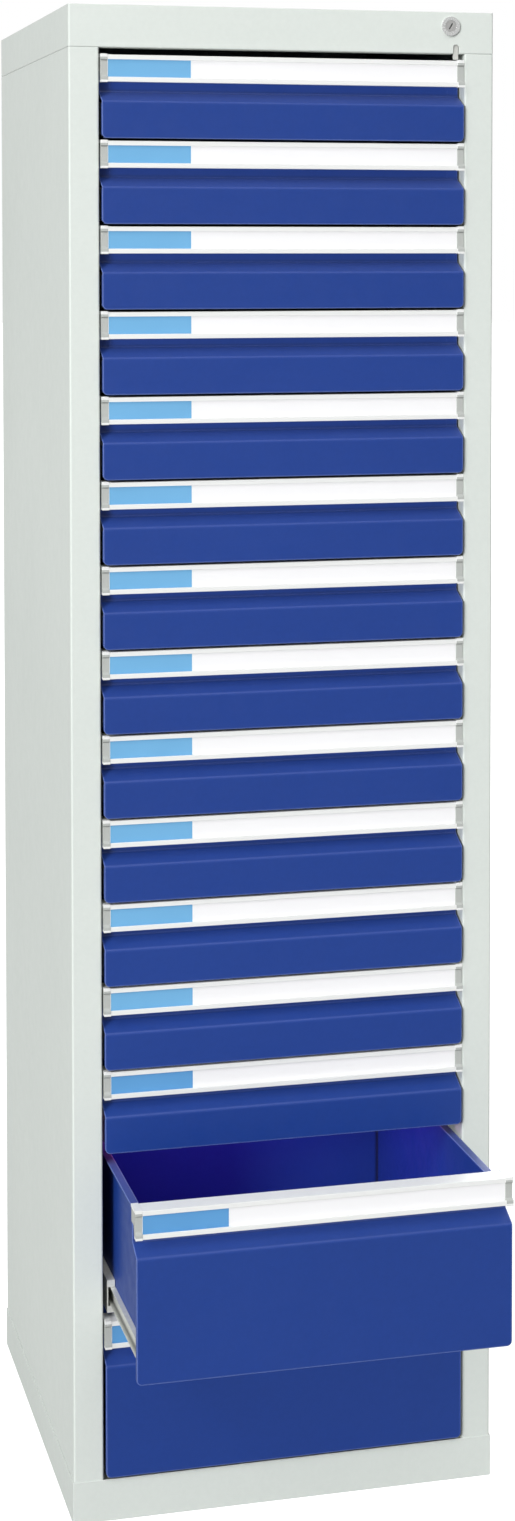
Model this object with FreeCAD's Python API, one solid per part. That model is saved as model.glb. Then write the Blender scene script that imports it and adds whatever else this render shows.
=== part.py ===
import FreeCAD, Part

import math
import os

# Tall drawer cabinet: sheet steel carcass, fifteen drawers on ball slides, one cylinder lock.
# Millimetres. X runs to the right, Y to the back, Z up. The origin lies on the floor
# under the middle of the carcass. Depths named "setback" count back from the stile plane.

# Carcass
carcass_width = 520.0
carcass_depth = 530.0
cap_height = 50.0
plinth_height = 50.0
module_height = 100.0
single_drawers = 13
double_drawers = 2
stile_width = 36.0
stile_return = 30.0
stile_lip = 10.0
back_flange = 20.0
top_flange = 15.0
panel_sheet = 1.25
panel_bend = 1.0
back_sheet = 1.0

# Top cap and base plinth
cap_flange = 15.0
cap_corner = 2.0
cap_edge = 1.0
plinth_sheet = 1.0
plinth_foot = 20.0
deck_sheet = 1.5
deck_drop = 4.0
stiffener_width = 60.0
stiffener_sheet = 1.5
stiffener_lip = 15.0

# Open drawer
open_drawer = 14
pull_out = 185.0

# Folded drawer front
front_sheet = 1.0
front_side_gap = 2.5
front_forward = 5.0
recess_setback = 19.0
recess_show = 10.5
slope_height = 11.5
fold_radius = 3.0
lower_return = 10.0
side_hem = 6.0
front_corner = 6.0
front_gap = 3.0
lowest_gap = 3.5

# Grip profile with label channel
grip_drop = 8.5
grip_height = 31.5
grip_side_gap = 1.5
grip_wall = 2.0
grip_lip = 1.5
grip_top_front = 3.0
grip_foot_front = 5.5
grip_top_lip = 5.4
grip_foot_lip = 5.6
label_setback = 1.0
rear_web_height = 18.0
end_cap_width = 8.0
end_cap_rise = 1.0
end_cap_proud = 0.6
end_cap_tail = 4.0
card_thickness = 0.5
cover_thickness = 0.8
channel_play = 0.2
blue_label_length = 100.0

# Drawer tray
tray_sheet = 1.0
tray_end_gap = 40.0
tray_lift = 1.5
tray_rim_drop = 20.0
tray_rim_width = 8.8

# Ball slides
slide_thickness = 16.0
slide_play = 0.4
rail_inset = 6.0
rail_height = 39.0
rail_sink = 1.0
rail_lip_gap = 0.6
rail_sheet = 1.2
rail_lip = 1.5
rail_setback = 2.0
rail_stop = 1.5
rail_end_depth = 3.0
ball_track = 7.3
runner_sheet = 1.2
runner_tip_gap = 2.8
runner_end_depth = 6.0
travel = 390.0
cage_sheet = 0.8
cage_margin = 4.5
cage_gap = 0.9
ball_play = 0.3
balls_in_row = 3

# Posts that carry the rails
post_face = 30.0
post_lip = 12.0
post_sheet = 1.5
front_post_setback = 250.0
rear_post_from_end = 52.0

# Lock and locking bar
lock_inset = 18.0
lock_rise = 33.0
ring_lip = 2.0
ring_thickness = 2.0
barrel_wall = 2.5
barrel_play = 0.1
plug_radius = 7.0
plug_play = 0.06
plug_inset = 0.4
key_width = 1.8
key_length = 8.0
key_depth = 4.0
key_turn = 30.0
cam_gap = 1.4
cam_width = 9.0
cam_margin = 1.5
cam_thickness = 3.0
crank = 7.0
pin_radius = 2.0
pin_play = 0.5
pin_end_margin = 2.0
bar_sheet = 2.0
bar_width = 14.0
bar_gap = 0.4
bar_foot = 30.0
bar_side_gap = 0.75
head_height = 15.0
tongue_inset = 11.0
tongue_width = 6.4
tongue_sheet = 1.5
tongue_clear = 0.7
notch_play = 0.4
notch_height = 11.0
arm_over_notch = 0.3
tab_level = 48.0
tab_height = 6.5
tab_gap = 2.0
catch_clear = 2.5
catch_height = 10.0
catch_width = 6.0
catch_depth = 8.0
guide_sheet = 1.5
guide_height = 30.0
guide_flange = 14.0
guide_drawers = (2, 8, 14)
guide_rise = 8.0

# Places that follow from the sizes
drawer_count = single_drawers + double_drawers
modules = single_drawers + 2 * double_drawers
opening_height = modules * module_height
cap_level = plinth_height + opening_height
cabinet_height = cap_level + cap_height
deck_level = plinth_height - deck_drop
half_width = carcass_width / 2
front_y = -carcass_depth / 2
opening_half = half_width - stile_width
inner_half = half_width - panel_sheet
front_half = opening_half - front_side_gap
grip_half = opening_half - grip_side_gap
profile_half = grip_half - end_cap_width
tray_half = opening_half - slide_thickness
face_setback = -front_forward
tray_front = recess_setback + front_sheet
tray_back = carcass_depth - tray_end_gap
grip_back = tray_front + tray_sheet + 1.0
slide_level = rail_height / 2 - rail_sink
rail_half = opening_half - rail_inset
rail_depth = slide_thickness - rail_inset - rail_lip_gap
runner_depth = slide_thickness - rail_inset - rail_sheet - runner_tip_gap
rail_inner = rail_height / 2 - rail_sheet
runner_half = rail_inner - ball_track
bar_setback = stile_return + bar_gap
bar_near = opening_half + 2.0
lock_x = opening_half - lock_inset
tongue_x = opening_half - tongue_inset
barrel_radius = plug_radius + barrel_wall
ring_radius = barrel_radius + ring_lip
barrel_length = bar_setback - cam_gap - cam_thickness - bar_gap


def vec(x, y, z):
    return FreeCAD.Vector(x, y, z)


def side_view(x):
    """Places a profile of (setback, height) at the given X."""
    return lambda u, v: vec(x, front_y + u, v)


def plan_view(z):
    """Places a profile of (X, setback) at the given height."""
    return lambda u, v: vec(u, front_y + v, z)


def front_view(setback):
    """Places a profile of (X, height) at the given setback."""
    return lambda u, v: vec(u, front_y + setback, v)


def block(x0, x1, s0, s1, z0, z1):
    """A box between two X, two setbacks and two heights."""
    return Part.makeBox(x1 - x0, s1 - s0, z1 - z0, vec(x0, front_y + s0, z0))


def prism(points, place, run):
    """A straight solid over a closed polygon."""
    corners = [place(u, v) for u, v in points]
    wire = Part.makePolygon(corners + [corners[0]])
    return Part.Face(wire).extrude(run)


def rod(x, z, s0, s1, radius):
    """A round bar from front to back."""
    return Part.makeCylinder(radius, s1 - s0, vec(x, front_y + s0, z), vec(0, 1, 0))


def sheet_edges(path, sheet, bends):
    """Both faces of a folded sheet: the path is one face, the metal lies to its left."""
    near, far = [], []
    last = len(path) - 1
    steps = []
    for (u0, v0), (u1, v1) in zip(path, path[1:]):
        size = math.hypot(u1 - u0, v1 - v0)
        steps.append(((u1 - u0) / size, (v1 - v0) / size))
    normals = [(-dv, du) for du, dv in steps]
    near_at = path[0]
    far_at = (path[0][0] + normals[0][0] * sheet, path[0][1] + normals[0][1] * sheet)
    near.append(("point", near_at))
    far.append(("point", far_at))
    for i in range(1, last):
        d0, d1, n0, n1 = steps[i - 1], steps[i], normals[i - 1], normals[i]
        cross = d0[0] * d1[1] - d0[1] * d1[0]
        dot = d0[0] * d1[0] + d0[1] * d1[1]
        side = 1 if cross > 0 else -1
        turn = abs(math.atan2(cross, dot))
        bend = bends[i - 1]
        if bend is None:
            k = sheet / (1 + dot)
            near.append(("point", path[i]))
            far.append(("point", (path[i][0] + (n0[0] + n1[0]) * k, path[i][1] + (n0[1] + n1[1]) * k)))
            continue
        radius = bend + sheet if side > 0 else bend
        reach = radius * math.tan(turn / 2)
        start = (path[i][0] - d0[0] * reach, path[i][1] - d0[1] * reach)
        end = (path[i][0] + d1[0] * reach, path[i][1] + d1[1] * reach)
        centre = (start[0] + n0[0] * side * radius, start[1] + n0[1] * side * radius)
        out = (path[i][0] - centre[0], path[i][1] - centre[1])
        size = math.hypot(*out)
        out = (out[0] / size, out[1] / size)
        other = radius - side * sheet
        near.append(("point", start))
        near.append(("arc", (centre[0] + out[0] * radius, centre[1] + out[1] * radius), end))
        far_start = (start[0] + n0[0] * sheet, start[1] + n0[1] * sheet)
        far_end = (end[0] + n1[0] * sheet, end[1] + n1[1] * sheet)
        far.append(("point", far_start))
        far.append(("arc", (centre[0] + out[0] * other, centre[1] + out[1] * other), far_end))
    near.append(("point", path[last]))
    far.append(("point", (path[last][0] + normals[-1][0] * sheet, path[last][1] + normals[-1][1] * sheet)))
    return near, far


def chain(face, place):
    """The edges along one face of a folded sheet."""
    edges = []
    at = place(*face[0][1])
    for item in face[1:]:
        if item[0] == "point":
            to = place(*item[1])
            if to.sub(at).Length > 1e-6:
                edges.append(Part.makeLine(at, to))
        else:
            to = place(*item[2])
            edges.append(Part.Arc(at, place(*item[1]), to).toShape())
        at = to
    return edges


def folded(path, sheet, bends, place, run):
    """A folded sheet: bends lists the inner radius at each corner, None for a sharp one."""
    near, far = sheet_edges(path, sheet, bends)
    edges = chain(near, place) + chain(far, place)
    edges.append(Part.makeLine(place(*near[0][1]), place(*far[0][1])))
    edges.append(Part.makeLine(place(*near[-1][1]), place(*far[-1][1])))
    wire = Part.Wire(Part.__sortEdges__(edges))
    return Part.Face(wire).extrude(run)


def mirrored(shape):
    return shape.mirror(vec(0, 0, 0), vec(1, 0, 0))


def joined(shapes):
    return shapes[0].fuse(shapes[1:]).removeSplitter()


def module_floor(number):
    """Height of the lower edge of a drawer's module, counted from the top drawer."""
    used = min(number, single_drawers) + 2 * max(0, number - single_drawers)
    return cap_level - used * module_height


def drawer_height(number):
    return module_height if number <= single_drawers else 2 * module_height


def lower_edge(number):
    """Lower edge of a front above its module's floor."""
    return lowest_gap if number == drawer_count else front_gap - grip_drop


def out_of_cabinet(number):
    return pull_out if number == open_drawer else 0.0


def rail_front():
    """The rails start behind the slope of the lowest front that they could meet."""
    top = slide_level + rail_height / 2
    slope_foot = module_height - grip_drop - grip_height - recess_show - slope_height
    run = recess_setback + front_forward
    steep = math.hypot(run, slope_height) / slope_height
    reach = min(max(0.0, top - slope_foot) * run / slope_height, run)
    behind = face_setback + reach + front_sheet * steep + 1.0
    return max(rail_setback, behind, face_setback + lower_return + 1.0)


def rail_back():
    return tray_back + slide_play + rail_stop


# Carcass pieces


def side_panel():
    """Left side folded to the stile, its return and lip, and to the back flange."""
    path = [
        (-half_width + back_flange, carcass_depth),
        (-half_width, carcass_depth),
        (-half_width, 0),
        (-opening_half, 0),
        (-opening_half, stile_return),
        (-opening_half - stile_lip, stile_return),
    ]
    height = cap_level - deck_level
    wall = folded(path, panel_sheet, [panel_bend] * 4, plan_view(deck_level), vec(0, 0, height))
    ledge = block(
        -inner_half,
        -inner_half + top_flange,
        bar_setback + bar_sheet + bar_gap,
        carcass_depth - panel_sheet,
        cap_level - panel_sheet,
        cap_level,
    )
    return joined([wall, ledge])


def top_cap():
    """Lid with a turned-in lower edge, a lock hole and a notch for the tongue."""
    lid = block(-half_width, half_width, 0, carcass_depth, cap_level, cabinet_height)
    upright = [e for e in lid.Edges if abs(e.tangentAt(e.FirstParameter).z) > 0.9]
    lid = lid.makeFillet(cap_corner, upright)
    hollow = block(
        -inner_half,
        inner_half,
        panel_sheet,
        carcass_depth - panel_sheet,
        cap_level + panel_sheet,
        cabinet_height - panel_sheet,
    )
    mouth = block(
        -half_width + cap_flange,
        half_width - cap_flange,
        cap_flange,
        carcass_depth - cap_flange,
        cap_level - 1,
        cap_level + 2 * panel_sheet,
    )
    around = [e for e in lid.Edges if all(abs(v.Z - cap_level) < 1e-6 for v in e.Vertexes)]
    lid = lid.makeChamfer(cap_edge, around)
    hole = rod(lock_x, lock_height(), -1, panel_sheet + 1, barrel_radius + barrel_play)
    return lid.cut(hollow).cut(mouth).cut(hole).cut(tongue_notch())


def tongue_notch():
    """Round-topped notch in the front of the cap and a slot in its lower flange."""
    half = tongue_width / 2 + notch_play
    x = tongue_x
    top = cap_level + notch_height - half
    slot = block(x - half, x + half, -1, cap_flange + 1, cap_level - 1, top)
    return slot.fuse(rod(x, top, -1, cap_flange + 1, half))


def base_plinth():
    """Skirt round the foot of the carcass with a deck inside and a foot flange."""
    w = half_width + plinth_sheet
    skirt = block(-w, w, -plinth_sheet, carcass_depth + plinth_sheet, 0, plinth_height)
    above = block(-half_width, half_width, 0, carcass_depth, deck_level, plinth_height + 1)
    below = block(-half_width, half_width, 0, carcass_depth, plinth_sheet, deck_level - deck_sheet)
    foot = block(
        -half_width + plinth_foot,
        half_width - plinth_foot,
        plinth_foot,
        carcass_depth - plinth_foot,
        -1,
        2 * plinth_sheet,
    )
    return skirt.cut(above).cut(below).cut(foot)


def deck_stiffener():
    """Channel that stands on the floor under the middle of the deck."""
    half = stiffener_width / 2
    mid = carcass_depth / 2
    top = deck_level - deck_sheet
    path = [
        (mid + half + stiffener_lip, top),
        (mid + half, top),
        (mid + half, stiffener_sheet),
        (mid - half, stiffener_sheet),
        (mid - half, top),
        (mid - half - stiffener_lip, top),
    ]
    inner = half_width - plinth_foot
    run = vec(2 * inner, 0, 0)
    return folded(path, stiffener_sheet, [None] * 4, side_view(-inner), run)


def back_panel():
    s = carcass_depth - panel_sheet
    return block(-inner_half + 1, inner_half - 1, s - back_sheet, s, deck_level, cap_level - panel_sheet - 0.5)


def posts():
    """Hat-shaped uprights between the side panels and the rails."""
    shapes = []
    half = post_face / 2
    for setback in (front_post_setback, rail_back() - rear_post_from_end):
        outer = -inner_half + post_sheet
        path = [
            (outer, setback - half - post_lip),
            (outer, setback - half),
            (-rail_half, setback - half),
            (-rail_half, setback + half),
            (outer, setback + half),
            (outer, setback + half + post_lip),
        ]
        height = cap_level - panel_sheet - deck_level
        post = folded(path, post_sheet, [None] * 4, plan_view(deck_level), vec(0, 0, height))
        shapes += [post, mirrored(post)]
    return Part.makeCompound(shapes)


# Slides


def rail_section(level):
    """Left cabinet member: a channel open to the drawer, with lips that hold the balls."""
    x = -rail_half
    half = rail_height / 2
    path = [
        (x + rail_depth, level + half - rail_sheet - rail_lip),
        (x + rail_depth, level + half),
        (x, level + half),
        (x, level - half),
        (x + rail_depth, level - half),
        (x + rail_depth, level - half + rail_sheet + rail_lip),
    ]
    return path


def rail_ends(level):
    """Two solid pieces that close the ball tracks at the front end of a rail."""
    start = rail_front()
    near, far = runner_half + slide_play, rail_inner
    x0, x1 = -rail_half + rail_sheet, -rail_half + rail_depth
    upper = block(x0, x1, start, start + rail_end_depth, level + near, level + far)
    lower = block(x0, x1, start, start + rail_end_depth, level - far, level - near)
    return [upper, lower]


def rails():
    """The left rails of all drawers, each with a turned-in stop at its back end."""
    shapes = []
    start, end = rail_front(), rail_back()
    for number in range(1, drawer_count + 1):
        level = module_floor(number) + slide_level
        run = vec(0, end - start, 0)
        rail = folded(rail_section(level), rail_sheet, [None] * 4, front_view(start), run)
        x = -rail_half + rail_sheet
        stop = block(x, x + rail_depth - 2 * rail_sheet, end - rail_stop, end, level - runner_half, level + runner_half)
        shapes.append(joined([rail, stop] + rail_ends(level)))
    return Part.makeCompound(shapes)


def runner(number):
    """Left drawer member: a channel on the tray wall, open to the outside, closed in front."""
    level = module_floor(number) + slide_level
    x = -tray_half
    path = [
        (x - runner_depth, level - runner_half),
        (x, level - runner_half),
        (x, level + runner_half),
        (x - runner_depth, level + runner_half),
    ]
    run = vec(0, tray_back - tray_front, 0)
    channel = folded(path, runner_sheet, [None] * 2, front_view(tray_front), run)
    inner = runner_half - runner_sheet
    end = block(
        x - runner_depth,
        x - runner_sheet,
        tray_front,
        tray_front + runner_end_depth,
        level - inner,
        level + inner,
    )
    return joined([channel, end])


def ball_cage():
    """Left cage of the open drawer: a bent strip over the runner with balls in both rows."""
    level = module_floor(open_drawer) + slide_level
    length = rail_back() - rail_front() - travel - 2 * cage_margin
    start = rail_front() + cage_margin + (travel - pull_out) / 2
    x = -tray_half - runner_depth - cage_gap
    row = (runner_half + rail_inner) / 2
    half = row + cage_sheet / 2
    inner_x = -rail_half + rail_depth - rail_sheet - 1.0
    path = [(inner_x, level + half), (x, level + half), (x, level - half), (inner_x, level - half)]
    near = [(u - (cage_sheet if abs(u - x) < 1e-6 else 0), v) for u, v in path]
    strip = folded(near, cage_sheet, [None] * 2, front_view(start), vec(0, length, 0))
    radius = min((rail_inner - runner_half) / 2, (rail_depth - rail_sheet) / 2) - ball_play
    ball_x = -rail_half + (rail_sheet + rail_depth) / 2
    balls = []
    for k in range(balls_in_row):
        setback = start + length * (k + 0.5) / balls_in_row
        for side in (-1, 1):
            balls.append(ball(vec(ball_x, front_y + setback, level + side * row), radius))
    return joined([strip] + balls)


def ball(centre, radius):
    """A ball of flat faces: two rings of eight points between its poles."""
    rings = []
    for lift in (-36, 36):
        flat = radius * math.cos(math.radians(lift))
        z = radius * math.sin(math.radians(lift))
        turns = [math.radians(45 * k) for k in range(8)]
        rings.append([centre + vec(flat * math.cos(t), flat * math.sin(t), z) for t in turns])
    faces = []
    for k in range(8):
        a, b = rings[0][k], rings[0][(k + 1) % 8]
        c, d = rings[1][(k + 1) % 8], rings[1][k]
        corners = [[a, b, c, d], [b, a, centre + vec(0, 0, -radius)], [d, c, centre + vec(0, 0, radius)]]
        faces += [Part.Face(Part.makePolygon(part + [part[0]])) for part in corners]
    return Part.Solid(Part.Shell(faces))


# Drawer pieces


def front_path(height, lower):
    """Outside face of the folded front, from under the grip down to its turned-in edge."""
    grip_foot = height - grip_drop - grip_height
    recess_foot = grip_foot - recess_show
    return [
        (recess_setback, height - grip_drop - grip_wall),
        (recess_setback, recess_foot),
        (face_setback, recess_foot - slope_height),
        (face_setback, lower),
        (face_setback + lower_return, lower),
    ]


def folded_front(height, lower):
    """Front with finger recess, slope, main face, side hems and round lower corners."""
    path = front_path(height, lower)
    bends = [fold_radius, fold_radius, None]
    run = vec(2 * front_half, 0, 0)
    skin = folded(path, front_sheet, bends, side_view(-front_half), run)
    hem_top = path[2][1] - fold_radius
    hem = block(
        -front_half,
        -front_half + front_sheet,
        face_setback + front_sheet,
        face_setback + side_hem,
        lower + front_sheet,
        hem_top,
    )
    front = joined([skin, hem, mirrored(hem)])
    trim = block(-front_half, front_half, face_setback - 1, tray_back, lower, path[0][1])
    low = [
        e
        for e in trim.Edges
        if abs(e.tangentAt(e.FirstParameter).y) > 0.9 and all(abs(v.Z - lower) < 1e-6 for v in e.Vertexes)
    ]
    return front.common(trim.makeFillet(front_corner, low))


def tray(height):
    """Open box with an outward rim, closed in front behind the recess of the front."""
    rim = height - tray_rim_drop
    front_top = height - grip_drop - grip_wall
    floor_top = tray_lift + tray_sheet
    floor = block(-tray_half, tray_half, tray_front, tray_back, tray_lift, floor_top)
    wall = block(-tray_half, -tray_half + tray_sheet, tray_front, tray_back, tray_lift, rim)
    fold = block(-tray_half - tray_rim_width, -tray_half, tray_front, tray_back, rim - tray_sheet, rim)
    front = block(-tray_half, tray_half, tray_front, tray_front + tray_sheet, tray_lift, front_top)
    back = block(-tray_half, tray_half, tray_back - tray_sheet, tray_back, tray_lift, rim)
    return [floor, wall, mirrored(wall), fold, mirrored(fold), front, back]


def catch_block():
    """Steel block on the right wall that a tab of the locking bar stops."""
    start = bar_setback + bar_sheet + bar_gap
    low = tab_level + tab_height + catch_clear
    return block(tray_half, tray_half + catch_width, start, start + catch_depth, low, low + catch_height)


def drawer_box(height, lower):
    return joined([folded_front(height, lower)] + tray(height) + [catch_block()])


def grip_profile(top):
    """Extruded grip: label channel in front, finger space behind, open below."""
    wall = grip_wall
    plate_back = label_setback + wall
    foot = top - grip_height
    points = [
        (grip_back, top),
        (-grip_top_front, top),
        (-grip_top_front, top - grip_top_lip),
        (-grip_top_front + grip_lip, top - grip_top_lip),
        (-grip_top_front + grip_lip, top - wall),
        (label_setback, top - wall),
        (label_setback, foot + grip_lip),
        (-grip_foot_front + grip_lip, foot + grip_lip),
        (-grip_foot_front + grip_lip, foot + grip_foot_lip),
        (-grip_foot_front, foot + grip_foot_lip),
        (-grip_foot_front, foot),
        (plate_back, foot),
        (plate_back, top - wall),
        (recess_setback - wall, top - wall),
        (recess_setback - wall, top - rear_web_height),
        (recess_setback, top - rear_web_height),
        (recess_setback, top - wall),
        (grip_back, top - wall),
    ]
    return prism(points, side_view(-profile_half), vec(2 * profile_half, 0, 0))


def end_cap(top):
    """Left end cap: follows both lips in front, full depth only over the rear web."""
    upper = top + end_cap_rise
    foot = top - grip_height
    waist = -grip_top_front + grip_lip
    points = [
        (grip_back, upper),
        (-grip_top_front - end_cap_proud, upper),
        (-grip_top_front - end_cap_proud, top - grip_top_lip),
        (waist, top - grip_top_lip - 1.5),
        (waist, foot + grip_foot_lip + 2.0),
        (-grip_foot_front - end_cap_proud, foot + grip_foot_lip),
        (-grip_foot_front - end_cap_proud, foot - end_cap_proud),
        (label_setback + grip_wall, foot - end_cap_proud),
        (label_setback + grip_wall + end_cap_tail, top - rear_web_height),
        (recess_setback, top - rear_web_height),
        (recess_setback, top - grip_wall),
        (grip_back, top - grip_wall),
    ]
    return prism(points, side_view(-grip_half), vec(end_cap_width, 0, 0))


def label_strips(top):
    """A short and a long label and the clear cover that holds them in the channel."""
    low = top - grip_height + grip_lip + channel_play
    high = top - grip_wall - channel_play
    back = label_setback
    card = back - card_thickness
    cover = card - cover_thickness
    split = -profile_half + blue_label_length
    short = block(-profile_half, split, card, back, low, high)
    long = block(split, profile_half, card, back, low, high)
    clear = block(-profile_half, profile_half, cover, card, low, high)
    return [short, long, clear]


def grip(height):
    top = height - grip_drop
    cap = end_cap(top)
    return Part.makeCompound([grip_profile(top), cap, mirrored(cap)] + label_strips(top))


# Lock


def lock_height():
    return cap_level + lock_rise


def lock_housing():
    """Barrel through the front of the cap with a ring outside."""
    x, z = lock_x, lock_height()
    ring = rod(x, z, -ring_thickness, 0, ring_radius)
    barrel = rod(x, z, 0, barrel_length, barrel_radius)
    bore = rod(x, z, -ring_thickness - 1, barrel_length + 1, plug_radius + plug_play)
    return joined([ring, barrel]).cut(bore)


def lock_plug():
    """Round core with a key slot."""
    x, z = lock_x, lock_height()
    front = plug_inset - ring_thickness
    plug = rod(x, z, front, barrel_length + bar_gap, plug_radius)
    half, reach = key_width / 2, key_length / 2
    slot = block(x - half, x + half, front - 1, front + key_depth, z - reach, z + reach)
    slot.rotate(vec(x, 0, z), vec(0, 1, 0), key_turn)
    return plug.cut(slot)


def pin_place():
    """The crank pin at rest, low on the left of the plug."""
    offset = crank * math.sin(math.radians(45))
    return lock_x - offset, lock_height() - offset


def lock_cam():
    """Flat lever on the back of the plug with the crank pin that lifts the bar."""
    start = barrel_length + bar_gap
    x, z = pin_place()
    half = cam_width / 2
    end = crank + pin_radius + cam_margin
    outline = [
        (-half, -half / 2),
        (-half / 2, -half),
        (end - half / 2, -half),
        (end, -half / 2),
        (end, half / 2),
        (end - half / 2, half),
        (-half / 2, half),
        (-half, half / 2),
    ]
    lever = prism(outline, front_view(start), vec(0, cam_thickness, 0))
    lever.rotate(vec(0, front_y, 0), vec(0, 1, 0), 135)
    lever.translate(vec(lock_x, 0, lock_height()))
    pin = rod(x, z, start + cam_thickness / 2, bar_setback + bar_sheet + pin_end_margin, pin_radius)
    return joined([lever, pin])


def locking_bar():
    """Flat bar behind the right stile with a tab for each drawer and a head at the lock."""
    s0, s1 = bar_setback, bar_setback + bar_sheet
    x0, x1 = bar_near, bar_near + bar_width
    head_z = pin_place()[1]
    head_top = head_z + head_height / 2
    strip = block(x0, x1, s0, s1, plinth_height + bar_foot, head_top)
    shapes = [strip]
    for number in range(1, drawer_count + 1):
        z = module_floor(number) + tab_level
        shapes.append(block(tray_half + tab_gap, x0, s0, s1, z, z + tab_height))
    near = lock_x - crank - pin_radius - pin_play - pin_radius
    shapes.append(block(near, x0, s0, s1, head_z - head_height / 2, head_top))
    return joined(shapes + tongue()).cut(crank_slot())


def crank_slot():
    """Level slot in the head for the crank pin, long enough for its arc."""
    x, z = pin_place()
    half = pin_radius + pin_play
    left = lock_x - crank
    s0, s1 = bar_setback - 1, bar_setback + bar_sheet + 1
    slot = block(left, x, s0, s1, z - half, z + half)
    return slot.fuse([rod(left, z, s0, s1, half), rod(x, z, s0, s1, half)])


def tongue():
    """Arm forward from the head and the tongue seen in the notch of the cap."""
    x0 = tongue_x - tongue_width / 2
    x1 = tongue_x + tongue_width / 2
    front = panel_sheet + bar_gap
    top = cap_level + notch_height + arm_over_notch + tongue_sheet
    first_grip = cap_level - grip_drop + end_cap_rise
    arm = block(x0, x1, front, bar_setback + bar_sheet, top - tongue_sheet, top)
    blade = block(x0, x1, front, front + tongue_sheet, first_grip + tongue_clear, top)
    link_top = pin_place()[1] - head_height / 2 + 1
    link = block(x0, x1, bar_setback, bar_setback + bar_sheet, top - tongue_sheet, max(link_top, top))
    return [arm, blade, link]


def bar_guides():
    """Angle brackets on the right side panel that keep the bar against the stile lip."""
    shapes = []
    s0 = bar_setback + bar_sheet + bar_gap
    for number in guide_drawers:
        level = module_floor(number) + guide_rise
        path = [
            (inner_half, s0 + guide_flange),
            (inner_half, s0),
            (bar_near + bar_side_gap, s0),
        ]
        run = vec(0, 0, guide_height)
        near = [(u, v) for u, v in reversed(path)]
        shapes.append(folded(near, guide_sheet, [None], plan_view(level), run))
    return Part.makeCompound(shapes)


# Output


def save(name, shape):
    shape.exportStep("parts/" + name + ".step")


def main():
    os.makedirs("parts", exist_ok=True)
    left = side_panel()
    save("left_side_panel", left)
    save("right_side_panel", mirrored(left))
    save("top_cap", top_cap())
    save("base_plinth", base_plinth())
    save("deck_stiffener", deck_stiffener())
    save("back_panel", back_panel())
    save("rail_posts", posts())
    left_rails = rails()
    save("left_rails", left_rails)
    save("right_rails", mirrored(left_rails))
    for number in range(1, drawer_count + 1):
        height = drawer_height(number)
        shift = vec(0, -out_of_cabinet(number), module_floor(number))
        slide = vec(0, -out_of_cabinet(number), 0)
        name = "drawer_%02d_" % number
        box = drawer_box(height, lower_edge(number))
        save(name + "box", box.translated(shift))
        save(name + "grip", grip(height).translated(shift))
        member = runner(number)
        pair = Part.makeCompound([member, mirrored(member)])
        save(name + "runners", pair.translated(slide))
    cage = ball_cage()
    save("drawer_%02d_ball_cages" % open_drawer, Part.makeCompound([cage, mirrored(cage)]))
    save("lock_housing", lock_housing())
    save("lock_plug", lock_plug())
    save("lock_cam", lock_cam())
    save("locking_bar", locking_bar())
    save("bar_guides", bar_guides())


main()
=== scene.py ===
import math

import bmesh
import bpy
from mathutils import Matrix, Vector


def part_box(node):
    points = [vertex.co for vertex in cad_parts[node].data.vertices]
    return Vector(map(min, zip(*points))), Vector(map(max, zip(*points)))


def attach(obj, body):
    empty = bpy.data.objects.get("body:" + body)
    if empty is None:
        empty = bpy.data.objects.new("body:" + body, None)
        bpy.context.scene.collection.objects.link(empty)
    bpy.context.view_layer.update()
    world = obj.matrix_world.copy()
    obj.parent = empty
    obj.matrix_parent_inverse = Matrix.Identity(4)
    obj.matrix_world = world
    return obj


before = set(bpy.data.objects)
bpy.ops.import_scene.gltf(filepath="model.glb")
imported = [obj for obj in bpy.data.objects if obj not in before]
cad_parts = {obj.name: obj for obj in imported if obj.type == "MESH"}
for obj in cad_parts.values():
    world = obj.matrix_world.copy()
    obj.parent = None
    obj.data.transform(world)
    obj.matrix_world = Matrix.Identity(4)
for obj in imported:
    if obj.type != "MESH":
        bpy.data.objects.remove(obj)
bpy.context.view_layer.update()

# Drawers, counted from the top
DRAWERS = 15
OPEN_DRAWER = 14
# First drawer whose blue label gets painted shade
FIRST_SHADED_LABEL = 13

# Grips in metres: heights in a module of the cabinet, and how the end caps outgrow the profile
MODULE = 0.1
LOWEST_MODULE = 0.05
PROFILE_HALF = 0.2145
PROFILE_HEIGHT = 0.0315
CHANNEL_MIDDLE = 0.0755
CHANNEL_HALF = 0.0134
CAP_LENGTH = 0.008
CAP_RISE = 0.001
CAP_BEFORE_STILE = 0.0061
MASK_MARGIN = 0.00005

# Labels in metres, from the end caps, the profile and the plane of the stiles
LABEL_SIDE_PLAY = 0.001
LABEL_ABOVE_FOOT = 0.0018
LABEL_BELOW_TOP = 0.0023
LABEL_FRONT = 0.0006  # before the stiles
LABEL_BACK = 0.0003  # before the stiles
LABEL_SPLIT = -0.1145
LABEL_GAP = 0.0006
LABEL_ROUNDING = 0.0001


# Nodes of materials


def new_material(name):
    material = bpy.data.materials.new(name)
    material.use_nodes = True
    tree = material.node_tree
    tree.nodes.clear()
    out = tree.nodes.new("ShaderNodeOutputMaterial")
    shader = tree.nodes.new("ShaderNodeBsdfPrincipled")
    tree.links.new(shader.outputs["BSDF"], out.inputs["Surface"])
    return material, tree, shader


def object_place(tree):
    return tree.nodes.new("ShaderNodeTexCoord").outputs["Object"]


def coords(tree, scale=(1, 1, 1)):
    """Place on the piece in metres, stretched by the scale."""
    mapping = tree.nodes.new("ShaderNodeMapping")
    mapping.inputs["Scale"].default_value = scale
    tree.links.new(object_place(tree), mapping.inputs["Vector"])
    return mapping.outputs["Vector"]


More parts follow.
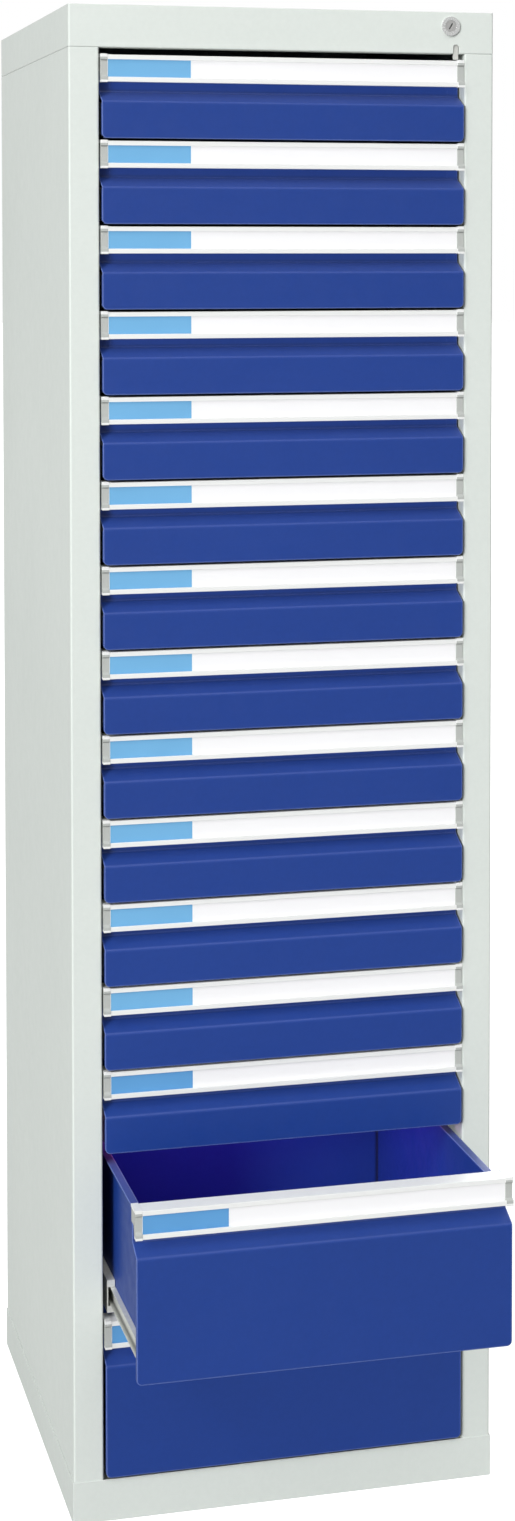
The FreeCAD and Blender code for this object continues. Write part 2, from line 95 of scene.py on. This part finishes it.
def noise(tree, vector, scale, detail=3.0, rough=0.5):
    node = tree.nodes.new("ShaderNodeTexNoise")
    node.inputs["Scale"].default_value = scale
    node.inputs["Detail"].default_value = detail
    node.inputs["Roughness"].default_value = rough
    tree.links.new(vector, node.inputs["Vector"])
    return node.outputs["Fac"]


def remap(tree, value, low, high, from_low=0.3, from_high=0.7):
    """Turns the range from_low to from_high into low to high. The default suits a noise."""
    node = tree.nodes.new("ShaderNodeMapRange")
    node.inputs["From Min"].default_value = from_low
    node.inputs["From Max"].default_value = from_high
    node.inputs["To Min"].default_value = low
    node.inputs["To Max"].default_value = high
    tree.links.new(value, node.inputs["Value"])
    return node.outputs["Result"]


def mix_colour(tree, factor, a, b):
    """Each of a and b is a colour or a socket."""
    node = tree.nodes.new("ShaderNodeMix")
    node.data_type = "RGBA"
    tree.links.new(factor, node.inputs["Factor"])
    sockets = [s for s in node.inputs if s.type == "RGBA"]
    for socket, value in zip(sockets, (a, b)):
        if hasattr(value, "is_output"):
            tree.links.new(value, socket)
        else:
            socket.default_value = (*value, 1.0)
    return [s for s in node.outputs if s.type == "RGBA"][0]


def math_node(tree, operation, a, b=0.0):
    """Each of a and b is a number or a socket."""
    node = tree.nodes.new("ShaderNodeMath")
    node.operation = operation
    for socket, value in zip(node.inputs, (a, b)):
        if hasattr(value, "is_output"):
            tree.links.new(value, socket)
        else:
            socket.default_value = value
    return node.outputs[0]


def add(tree, a, b):
    return math_node(tree, "ADD", a, b)


def subtract(tree, a, b):
    return math_node(tree, "SUBTRACT", a, b)


def multiply(tree, a, b):
    return math_node(tree, "MULTIPLY", a, b)


def axis_value(tree, vector, axis):
    split = tree.nodes.new("ShaderNodeSeparateXYZ")
    tree.links.new(vector, split.inputs[0])
    return split.outputs[axis]


def rounded(tree, radius, samples):
    """The normal that edges rounded by the radius would have."""
    node = tree.nodes.new("ShaderNodeBevel")
    node.samples = samples
    node.inputs["Radius"].default_value = radius
    return node.outputs["Normal"]


def bump(tree, shader, height, strength, distance, bevel=0.0):
    node = tree.nodes.new("ShaderNodeBump")
    node.inputs["Strength"].default_value = strength
    node.inputs["Distance"].default_value = distance
    tree.links.new(height, node.inputs["Height"])
    if bevel:
        tree.links.new(rounded(tree, bevel, samples=4), node.inputs["Normal"])
    tree.links.new(node.outputs["Normal"], shader.inputs["Normal"])


def near_edge(tree, radius):
    """From 0 on a flat to 1 on a rounded edge: the mask of a painted edge highlight."""
    shape = tree.nodes.new("ShaderNodeNewGeometry")
    turned = tree.nodes.new("ShaderNodeVectorMath")
    turned.operation = "DOT_PRODUCT"
    tree.links.new(rounded(tree, radius, samples=6), turned.inputs[0])
    tree.links.new(shape.outputs["Normal"], turned.inputs[1])
    return remap(tree, turned.outputs["Value"], 1.0, 0.0, from_low=0.89, from_high=0.998)


def facing_up(tree):
    """From 0 on a wall to 1 on a slope or a floor."""
    shape = tree.nodes.new("ShaderNodeNewGeometry")
    upward = axis_value(tree, shape.outputs["Normal"], "Z")
    return remap(tree, upward, 0.0, 1.0, from_low=0.2, from_high=0.8)


def in_fold(tree, reach):
    """From 0 in the open to 1 under a lip or deep in a fold of the same piece: the mask of
    painted shade.
    """
    node = tree.nodes.new("ShaderNodeAmbientOcclusion")
    node.samples = 8
    node.only_local = True
    node.inputs["Distance"].default_value = reach
    return remap(tree, node.outputs["AO"], 1.0, 0.0, from_low=0.72, from_high=0.96)


def times(colour, share):
    return tuple(c * share for c in colour)


# Materials


def powder_coat(name, colour, darker, edge, gloss, peel, bevel, fold, bloom=0.0):
    """Sprayed powder coat: uneven in tone, with a painted highlight on rounded edges, painted
    shade in folds, and orange peel.

    fold is the share of the tone that is left in the painted shade of a fold, edge the colour of
    the painted edge highlight, bloom the sheen of faces that look up.
    """
    material, tree, shader = new_material(name)
    place = coords(tree)
    broad = noise(tree, place, scale=2.2, detail=4.0, rough=0.55)
    fine = noise(tree, place, scale=900.0, detail=2.0)
    spray = noise(tree, place, scale=190.0, rough=0.6)
    patchy = add(tree, multiply(tree, broad, 0.6), multiply(tree, spray, 0.4))
    patches = remap(tree, patchy, 0.0, 1.0, from_low=0.38, from_high=0.62)
    flat = mix_colour(tree, patches, colour, darker)
    # Painted shade: darker under a lip and in a fold of the same piece, where ambient occlusion
    # finds it.
    fold_shade = in_fold(tree, reach=0.005)
    # Painted highlight: rounded edges outside the folds are lightened towards the edge colour.
    edge_highlight_mask = multiply(tree, near_edge(tree, bevel), subtract(tree, 1.0, fold_shade))
    edge_lit = mix_colour(tree, edge_highlight_mask, flat, edge)
    base = mix_colour(tree, fold_shade, edge_lit, times(darker, fold))
    tree.links.new(base, shader.inputs["Base Color"])
    matt = remap(tree, noise(tree, place, scale=60.0), 0.45, 0.56)
    tree.links.new(matt, shader.inputs["Roughness"])
    shader.inputs["Specular IOR Level"].default_value = gloss
    if bloom:
        upper = multiply(tree, facing_up(tree), bloom)
        tree.links.new(upper, shader.inputs["Sheen Weight"])
        shader.inputs["Sheen Roughness"].default_value = 0.4
    bump(tree, shader, fine, peel, distance=0.0002, bevel=bevel)
    return material


def cap_mask(tree):
    """1 on the plastic cap in each end of the channel, 0 on the lips and the profile.

    Every grip lies at the same height in its module, so one mask serves all of them.
    """
    place = object_place(tree)
    across = math_node(tree, "ABSOLUTE", axis_value(tree, place, "X"))
    past_profile = math_node(tree, "GREATER_THAN", across, PROFILE_HALF - MASK_MARGIN)
    height = subtract(tree, axis_value(tree, place, "Z"), LOWEST_MODULE)
    in_module = math_node(tree, "FLOORED_MODULO", height, MODULE)
    from_middle = math_node(tree, "ABSOLUTE", subtract(tree, in_module, CHANNEL_MIDDLE))
    in_channel = math_node(tree, "LESS_THAN", from_middle, CHANNEL_HALF)
    return multiply(tree, past_profile, in_channel)


def grip_metal(name, bright, dull, plastic):
    """Anodised profile with fine lines along it, and plastic caps in both ends."""
    material, tree, shader = new_material(name)
    drawn = noise(tree, coords(tree, (2.0, 700.0, 700.0)), scale=3.0, detail=4.0, rough=0.6)
    cap = cap_mask(tree)
    metal = mix_colour(tree, remap(tree, drawn, 0.0, 1.0), bright, dull)
    tree.links.new(mix_colour(tree, cap, metal, plastic), shader.inputs["Base Color"])
    metallic = remap(tree, cap, 0.28, 0.0, from_low=0.0, from_high=1.0)
    tree.links.new(metallic, shader.inputs["Metallic"])
    rough = add(tree, remap(tree, drawn, 0.34, 0.46), multiply(tree, cap, 0.12))
    tree.links.new(rough, shader.inputs["Roughness"])
    bump(tree, shader, drawn, strength=0.15, distance=0.0001, bevel=0.0007)
    return material


def zinc_plate(name, colour, rough):
    """Zinc plated strip: faint spangle and rolling lines, and painted shade in its folds and
    tracks.
    """
    material, tree, shader = new_material(name)
    spangle = tree.nodes.new("ShaderNodeTexVoronoi")
    spangle.inputs["Scale"].default_value = 160.0
    tree.links.new(coords(tree), spangle.inputs["Vector"])
    rolled = noise(tree, coords(tree, (300.0, 6.0, 300.0)), scale=2.0)
    mottle = multiply(tree, spangle.outputs["Distance"], rolled)
    patches = remap(tree, mottle, 0.0, 1.0, from_low=0.0, from_high=0.6)
    unshaded_zinc = mix_colour(tree, patches, colour, times(colour, 0.82))
    # Painted shade: folds and tracks of the same piece are darkened towards 0.4 of the colour.
    base = mix_colour(tree, in_fold(tree, reach=0.005), unshaded_zinc, times(colour, 0.4))
    tree.links.new(base, shader.inputs["Base Color"])
    shader.inputs["Metallic"].default_value = 0.5
    matt = remap(tree, rolled, rough - 0.06, rough + 0.08)
    tree.links.new(matt, shader.inputs["Roughness"])
    bump(tree, shader, rolled, strength=0.12, distance=0.0001, bevel=0.0004)
    return material


def polished(name, colour, rough):
    """Polished metal with fine marks of use."""
    material, tree, shader = new_material(name)
    marks = noise(tree, coords(tree), scale=500.0, detail=4.0, rough=0.6)
    base = mix_colour(tree, remap(tree, marks, 0.0, 1.0), colour, times(colour, 0.85))
    tree.links.new(base, shader.inputs["Base Color"])
    shader.inputs["Metallic"].default_value = 0.55
    tree.links.new(remap(tree, marks, rough, rough + 0.1), shader.inputs["Roughness"])
    bump(tree, shader, marks, strength=0.1, distance=0.00005, bevel=0.0004)
    return material


def card(name, colour, darker):
    """Matt paper label with a fine fibre."""
    material, tree, shader = new_material(name)
    place = coords(tree)
    fibre = noise(tree, place, scale=1400.0, detail=4.0, rough=0.6)
    cloud = noise(tree, place, scale=12.0, detail=2.0)
    base = mix_colour(tree, remap(tree, cloud, 0.0, 1.0), colour, darker)
    tree.links.new(base, shader.inputs["Base Color"])
    tree.links.new(remap(tree, fibre, 0.5, 0.65), shader.inputs["Roughness"])
    shader.inputs["Specular IOR Level"].default_value = 0.12
    bump(tree, shader, fibre, strength=0.08, distance=0.00005)
    return material


def backdrop_floor(name):
    """Pale floor that the camera sees whiter than it lights the cabinet."""
    material, tree, shader = new_material(name)
    cloud = noise(tree, coords(tree), scale=1.5, detail=2.0)
    base = mix_colour(tree, remap(tree, cloud, 0.0, 1.0), (0.28, 0.28, 0.28), (0.27, 0.27, 0.27))
    tree.links.new(base, shader.inputs["Base Color"])
    shader.inputs["Roughness"].default_value = 0.9
    shader.inputs["Emission Color"].default_value = (1.0, 1.0, 1.0, 1.0)
    path = tree.nodes.new("ShaderNodeLightPath")
    glow = multiply(tree, path.outputs["Is Camera Ray"], 0.9)
    tree.links.new(glow, shader.inputs["Emission Strength"])
    return material


# edge is the colour of the painted edge highlight, fold the share of the tone left in the
# painted shade of folds.
GREY = powder_coat(
    "grey_coat",
    colour=(0.545, 0.580, 0.552),
    darker=(0.520, 0.555, 0.528),
    edge=(0.64, 0.67, 0.65),
    gloss=0.2,
    peel=0.2,
    bevel=0.0012,
    fold=0.75,
)
BLUE = powder_coat(
    "blue_coat",
    colour=(0.0060, 0.0345, 0.207),
    darker=(0.0050, 0.0310, 0.190),
    edge=(0.140, 0.200, 0.470),
    gloss=0.4,
    peel=0.2,
    bevel=0.002,
    fold=0.25,
    bloom=0.13,
)
GRIP = grip_metal(
    "grip_metal",
    bright=(0.80, 0.81, 0.80),
    dull=(0.74, 0.75, 0.74),
    plastic=(0.355, 0.37, 0.355),
)
ZINC = zinc_plate("zinc", colour=(0.70, 0.71, 0.67), rough=0.38)
POST = zinc_plate("post_zinc", colour=(0.5, 0.51, 0.5), rough=0.45)
CHROME = polished("lock_ring", colour=(0.72, 0.73, 0.72), rough=0.22)
CORE = polished("lock_core", colour=(0.50, 0.50, 0.49), rough=0.3)
BLUE_CARD = card("blue_card", colour=(0.138, 0.343, 0.560), darker=(0.128, 0.326, 0.535))
# Painted shade: a darker copy of the blue card for the labels of the lowest drawers.
SHADED_BLUE_CARD = card("shaded_blue_card", colour=(0.093, 0.268, 0.510), darker=(0.086, 0.252, 0.486))
WHITE_CARD = card("white_card", colour=(0.69, 0.69, 0.70), darker=(0.68, 0.68, 0.69))

COAT_OF_NODE = {
    "left_side_panel": GREY,
    "right_side_panel": GREY,
    "top_cap": GREY,
    "base_plinth": GREY,
    "back_panel": GREY,
    "left_rails": ZINC,
    "right_rails": ZINC,
    "locking_bar": ZINC,
    "lock_cam": ZINC,
    "bar_guides": ZINC,
    "rail_posts": POST,
    "deck_stiffener": POST,
    "lock_housing": CHROME,
    "lock_plug": CORE,
}
COAT_OF_DRAWER_PART = {"_box": BLUE, "_grip": GRIP, "_runners": ZINC, "_ball_cages": ZINC}


def coat_of(node):
    for ending, material in COAT_OF_DRAWER_PART.items():
        if node.endswith(ending):
            return material
    return COAT_OF_NODE[node]


for node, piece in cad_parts.items():
    piece.data.materials.clear()
    piece.data.materials.append(coat_of(node))


# Labels


def add_object(name, data):
    item = bpy.data.objects.new(name, data)
    bpy.context.scene.collection.objects.link(item)
    return item


def plate(name, low, high, material, body):
    """A thin plate with slightly rounded front and back edges that rides with a body."""
    mesh = bpy.data.meshes.new(name)
    form = bmesh.new()
    bmesh.ops.create_cube(form, size=1.0)
    size = high - low
    for v in form.verts:
        v.co = Vector((v.co.x * size.x, v.co.y * size.y, v.co.z * size.z)) + (low + high) / 2
    long_edges = [e for e in form.edges if e.verts[0].co.y == e.verts[1].co.y]
    bmesh.ops.bevel(form, geom=long_edges, offset=LABEL_ROUNDING, segments=2, affect="EDGES")
    form.to_mesh(mesh)
    form.free()
    mesh.materials.append(material)
    piece = add_object(name, mesh)
    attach(piece, body)
    return piece


def label_pair(number):
    """The blue and the white label in the channel of one drawer's grip."""
    body = "drawer_%02d" % number
    grip_low, grip_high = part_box(body + "_grip")
    left = grip_low.x + CAP_LENGTH + LABEL_SIDE_PLAY
    right = grip_high.x - CAP_LENGTH - LABEL_SIDE_PLAY
    stile_plane = grip_low.y + CAP_BEFORE_STILE
    near, far = stile_plane - LABEL_FRONT, stile_plane - LABEL_BACK
    profile_top = grip_high.z - CAP_RISE
    bottom = profile_top - PROFILE_HEIGHT + LABEL_ABOVE_FOOT
    top = profile_top - LABEL_BELOW_TOP
    # The lowest drawers take the darker copy of the blue card, as painted shade.
    blue = SHADED_BLUE_CARD if number >= FIRST_SHADED_LABEL else BLUE_CARD
    return [
        plate(
            body + "_blue_label",
            Vector((left, near, bottom)),
            Vector((LABEL_SPLIT, far, top)),
            blue,
            body,
        ),
        plate(
            body + "_white_label",
            Vector((LABEL_SPLIT + LABEL_GAP, near, bottom)),
            Vector((right, far, top)),
            WHITE_CARD,
            body,
        ),
    ]


labels = []
for number in range(1, DRAWERS + 1):
    labels += label_pair(number)


# Stage, light and camera


def ground(side):
    mesh = bpy.data.meshes.new("floor")
    corners = [(-side, -side, 0), (side, -side, 0), (side, side, 0), (-side, side, 0)]
    mesh.from_pydata(corners, [], [(0, 1, 2, 3)])
    mesh.materials.append(backdrop_floor("floor_white"))
    add_object("floor", mesh)


def sun_light(name, azimuth, elevation, softness, strength):
    """A far soft light that reaches every drawer alike: azimuth 0 is straight in front."""
    data = bpy.data.lights.new(name, "SUN")
    data.energy = strength
    data.angle = math.radians(softness)
    light = add_object(name, data)
    turn, rise = math.radians(azimuth), math.radians(elevation)
    flat = math.cos(rise)
    source = Vector((math.sin(turn) * flat, -math.cos(turn) * flat, math.sin(rise)))
    light.rotation_mode = "QUATERNION"
    light.rotation_quaternion = source.to_track_quat("Z", "Y")
    return light


def soft_box(name, place, aim, size, watts):
    """A square lamp that shines from its place towards the aim."""
    data = bpy.data.lights.new(name, "AREA")
    data.energy = watts
    data.size = size
    light = add_object(name, data)
    light.location = place
    light.rotation_mode = "QUATERNION"
    light.rotation_quaternion = (place - aim).to_track_quat("Z", "Y")
    return light


def shine_past(light, pieces):
    """These pieces cast no shadow of this light."""
    ignored = bpy.data.collections.new(light.name + "_not_blocked_by")
    for piece in pieces:
        ignored.objects.link(piece)
    light.light_linking.blocker_collection = ignored
    for item in ignored.collection_objects:
        item.light_linking.link_state = "EXCLUDE"


def world_light(horizon, overhead, backdrop):
    """White surround that lights more from above, before a plain white backdrop."""
    world = bpy.data.worlds.new("studio")
    world.use_nodes = True
    tree = world.node_tree
    back = tree.nodes["Background"]
    back.inputs["Color"].default_value = (1.0, 1.0, 1.0, 1.0)
    towards = tree.nodes.new("ShaderNodeTexCoord")
    upward = axis_value(tree, towards.outputs["Generated"], "Z")
    lamp = remap(tree, upward, horizon, overhead, from_low=0.0, from_high=0.7)
    path = tree.nodes.new("ShaderNodeLightPath")
    level = tree.nodes.new("ShaderNodeMix")
    level.data_type = "FLOAT"
    tree.links.new(path.outputs["Is Camera Ray"], level.inputs["Factor"])
    tree.links.new(lamp, level.inputs["A"])
    level.inputs["B"].default_value = backdrop
    tree.links.new(level.outputs["Result"], back.inputs["Strength"])
    bpy.context.scene.world = world


def camera(place, right, down, ahead, lens, shift):
    """Camera as fitted to the photograph, with its axes in the frame of the CAD."""
    data = bpy.data.cameras.new("camera")
    data.sensor_fit = "AUTO"
    data.sensor_width = 36.0
    data.lens = lens
    data.shift_y = shift
    data.clip_start, data.clip_end = 0.05, 60.0
    cam = add_object("camera", data)
    turn = Matrix((right, -down, -ahead)).transposed().to_4x4()
    cam.matrix_world = Matrix.Translation(place) @ turn
    bpy.context.scene.camera = cam


ground(side=60.0)
world_light(horizon=0.30, overhead=0.60, backdrop=1.0)

# The photograph is retouched: the grips and the open drawer throw no shadow on the fronts below
open_box = [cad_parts["drawer_%02d_box" % OPEN_DRAWER]]
strips = [piece for node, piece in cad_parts.items() if node.endswith("_grip")] + labels
key = sun_light("key", azimuth=-55.0, elevation=35.0, softness=20.0, strength=1.0)
top = sun_light("top", azimuth=14.0, elevation=62.0, softness=20.0, strength=1.0)
upper = soft_box(
    "upper",
    place=Vector((-1.9, -2.4, 2.3)),
    aim=Vector((0.0, -0.265, 1.2)),
    size=1.2,
    watts=30.0,
)
front = sun_light("front", azimuth=-44.0, elevation=13.0, softness=14.0, strength=1.98)
sun_light("back", azimuth=150.0, elevation=20.0, softness=25.0, strength=1.5)
shine_past(key, open_box)
for light in (top, upper, front):
    shine_past(light, strips + open_box)

# Violet-tinted light under drawer 13, as in the open drawer of the photograph
inside = soft_box(
    "inside",
    place=Vector((0.0, -0.04, 0.447)),
    aim=Vector((0.0, -0.04, 0.3)),
    size=0.38,
    watts=1.1,
)
inside.data.color = (0.8, 0.16, 0.9)
inside.visible_camera = False

camera(
    place=(-0.7807, -3.2496, 1.5046),
    right=Vector((0.970092, -0.242737, -0.000889)),
    down=Vector((-0.011149, -0.040898, -0.999101)),
    ahead=Vector((0.242483, 0.969230, -0.042381)),
    lens=61.35,
    shift=-0.2581,
)
bpy.context.scene.view_settings.view_transform = "Standard"
